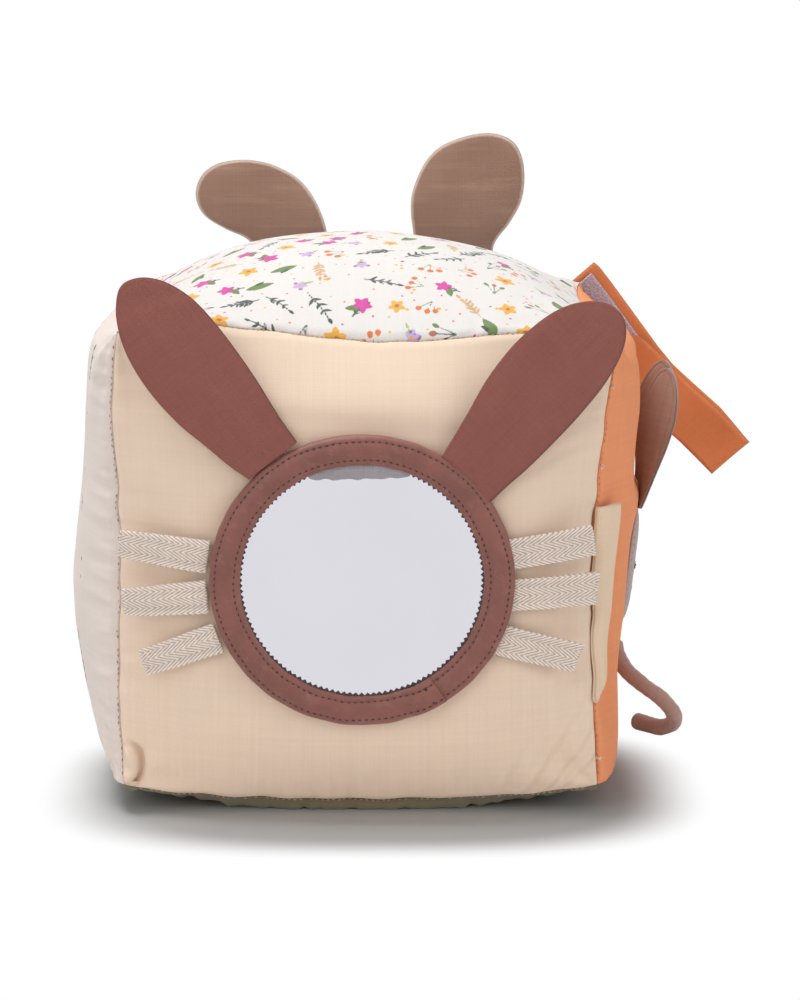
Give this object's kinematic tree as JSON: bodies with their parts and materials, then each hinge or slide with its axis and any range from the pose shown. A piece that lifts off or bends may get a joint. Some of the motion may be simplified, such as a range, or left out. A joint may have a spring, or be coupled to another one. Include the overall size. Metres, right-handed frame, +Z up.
{
  "type": "baby activity cube",
  "caption": "Soft stuffed activity cube for babies with a mirror in a ring, long and round cloth ears, tapes, a label loop, a closing strap and a mouse with a cord tail",
  "frame": {"origin": "centre of the flat patch under the block, on the surface it stands on", "axes": "+X to the right seen from the mirror side, +Y away from the mirror, +Z up"},
  "size_m": [0.2249, 0.1783, 0.1973],
  "materials": {
    "peach_cotton": "woven cotton, matte",
    "taupe_cotton": "brushed cotton",
    "blush_cotton": "pale cotton with sparse printed leaves",
    "orange_cotton": "cotton twill, matte",
    "print_cotton": "white cotton with a scattered botanical print",
    "olive_cotton": "woven cotton, matte",
    "white_fibre": "polyester fibre",
    "clear_film": "crackling film",
    "rattle_plastic": "moulded",
    "bead_plastic": "moulded",
    "mirror_film": "mirror film",
    "mauve_leather": "soft artificial leather, two rows of stitches",
    "mauve_linen": "plain linen weave",
    "cream_tape": "twill tape with ribbed edges",
    "light_taupe_cotton": "brushed cotton",
    "label_tape": "woven tape",
    "hook_tape": "hook and loop tape",
    "grey_felt": "soft felt",
    "cord_suede": "suede cord"
  },
  "bodies": {
    "block": {"front_panel": "peach_cotton", "back_panel": "taupe_cotton", "left_panel": "blush_cotton", "right_panel": "orange_cotton", "top_panel": "print_cotton", "bottom_panel": "olive_cotton", "filling_lower": "white_fibre", "filling_upper": "white_fibre", "crinkle_film": "clear_film", "rattle_shell_lower": "rattle_plastic", "rattle_shell_upper": "rattle_plastic", "mirror_backing": "white_fibre", "mirror_disc": "mirror_film", "mirror_ring": "mauve_leather", "mouse_head": "grey_felt", "mouse_body": "grey_felt", "tail_cord": "cord_suede"},
    "rattle_beads": {"rattle_bead_1": "bead_plastic", "rattle_bead_2": "bead_plastic", "rattle_bead_3": "bead_plastic"},
    "rabbit_ear_left": {"rabbit_ear_left_front": "mauve_linen", "rabbit_ear_left_back": "mauve_linen"},
    "rabbit_ear_right": {"rabbit_ear_right_front": "mauve_linen", "rabbit_ear_right_back": "mauve_linen"},
    "whisker_left_upper": {"whisker_left_upper": "cream_tape"},
    "whisker_left_middle": {"whisker_left_middle": "cream_tape"},
    "whisker_left_lower": {"whisker_left_lower": "cream_tape"},
    "whisker_right_upper": {"whisker_right_upper": "cream_tape"},
    "whisker_right_middle": {"whisker_right_middle": "cream_tape"},
    "whisker_right_lower": {"whisker_right_lower": "cream_tape"},
    "rear_ear_left": {"rear_ear_left_front": "taupe_cotton", "rear_ear_left_back": "light_taupe_cotton"},
    "rear_ear_right": {"rear_ear_right_front": "taupe_cotton", "rear_ear_right_back": "light_taupe_cotton"},
    "side_label": {"side_label": "label_tape"},
    "strap_arm": {"strap_arm": "orange_cotton", "loop_patch": "hook_tape"},
    "strap_return": {"strap_return": "orange_cotton", "hook_patch": "hook_tape"},
    "mouse_ear_near": {"mouse_ear_near_outer": "grey_felt", "mouse_ear_near_inner": "mauve_linen"},
    "mouse_ear_far": {"mouse_ear_far_outer": "grey_felt", "mouse_ear_far_inner": "mauve_linen"}
  },
  "joints": [
    {"name": "bead_hop", "type": "slide", "parent": "block", "child": "rattle_beads", "axis": [0, 0, 1], "range_m": [0, 0.0243]},
    {"name": "rabbit_ear_left_hinge", "type": "hinge", "parent": "block", "child": "rabbit_ear_left", "pos_m": [-0.02764, -0.0904, 0.11064], "axis": [0.7902, 0, 0.6129], "range_deg": [-5, 172], "stiffness_Nm_per_rad": 0.02},
    {"name": "rabbit_ear_right_hinge", "type": "hinge", "parent": "block", "child": "rabbit_ear_right", "pos_m": [0.03233, -0.0904, 0.10644], "axis": [0.6972, 0, -0.7169], "range_deg": [-5, 150], "stiffness_Nm_per_rad": 0.02},
    {"name": "whisker_left_upper_hinge", "type": "hinge", "parent": "block", "child": "whisker_left_upper", "pos_m": [-0.04457, -0.0882, 0.0819], "axis": [0.153, 0, 0.9882], "range_deg": [-10, 100], "stiffness_Nm_per_rad": 0.004},
    {"name": "whisker_left_middle_hinge", "type": "hinge", "parent": "block", "child": "whisker_left_middle", "pos_m": [-0.04485, -0.0882, 0.07029], "axis": [-0.1045, 0, 0.9945], "range_deg": [-10, 60], "stiffness_Nm_per_rad": 0.004},
    {"name": "whisker_left_lower_hinge", "type": "hinge", "parent": "block", "child": "whisker_left_lower", "pos_m": [-0.04196, -0.0882, 0.05847], "axis": [-0.3665, 0, 0.9304], "range_deg": [-10, 100], "stiffness_Nm_per_rad": 0.004},
    {"name": "whisker_right_upper_hinge", "type": "hinge", "parent": "block", "child": "whisker_right_upper", "pos_m": [0.04442, -0.0882, 0.08283], "axis": [0.1736, 0, -0.9848], "range_deg": [-10, 100], "stiffness_Nm_per_rad": 0.004},
    {"name": "whisker_right_middle_hinge", "type": "hinge", "parent": "block", "child": "whisker_right_middle", "pos_m": [0.04488, -0.0882, 0.07052], "axis": [-0.0993, 0, -0.9951], "range_deg": [-10, 60], "stiffness_Nm_per_rad": 0.004},
    {"name": "whisker_right_lower_hinge", "type": "hinge", "parent": "block", "child": "whisker_right_lower", "pos_m": [0.04145, -0.0882, 0.05723], "axis": [-0.3939, 0, -0.9191], "range_deg": [-10, 100], "stiffness_Nm_per_rad": 0.004},
    {"name": "rear_ear_left_hinge", "type": "hinge", "parent": "block", "child": "rear_ear_left", "pos_m": [-0.021, 0.07244, 0.14719], "axis": [1, 0, 0], "range_deg": [-110, 40], "stiffness_Nm_per_rad": 0.02},
    {"name": "rear_ear_right_hinge", "type": "hinge", "parent": "block", "child": "rear_ear_right", "pos_m": [0.032, 0.07283, 0.14758], "axis": [1, 0, 0], "range_deg": [-110, 40], "stiffness_Nm_per_rad": 0.02},
    {"name": "side_label_hinge", "type": "hinge", "parent": "block", "child": "side_label", "pos_m": [0.07382, -0.07353, 0.0646], "axis": [0, 0, -1], "range_deg": [-10, 110], "stiffness_Nm_per_rad": 0.004},
    {"name": "strap_arm_hinge", "type": "hinge", "parent": "block", "child": "strap_arm", "pos_m": [0.0753, 0.0748, 0.1384], "axis": [0, 0, 1], "range_deg": [-65, 20], "stiffness_Nm_per_rad": 0.05},
    {"name": "strap_return_hinge", "type": "hinge", "parent": "strap_arm", "child": "strap_return", "pos_m": [0.128, 0.076, 0.0869], "axis": [0.7536, 0, 0.6574], "range_deg": [-170, 0], "stiffness_Nm_per_rad": 0.05},
    {"name": "mouse_ear_near_hinge", "type": "hinge", "parent": "block", "child": "mouse_ear_near", "pos_m": [0.09008, -0.0205, 0.0853], "axis": [-0.342, 0.9397, 0], "range_deg": [-10, 100], "stiffness_Nm_per_rad": 0.01},
    {"name": "mouse_ear_far_hinge", "type": "hinge", "parent": "block", "child": "mouse_ear_far", "pos_m": [0.09043, 0.0005, 0.0853], "axis": [-0.342, 0.9397, 0], "range_deg": [-10, 100], "stiffness_Nm_per_rad": 0.01}
  ]
}
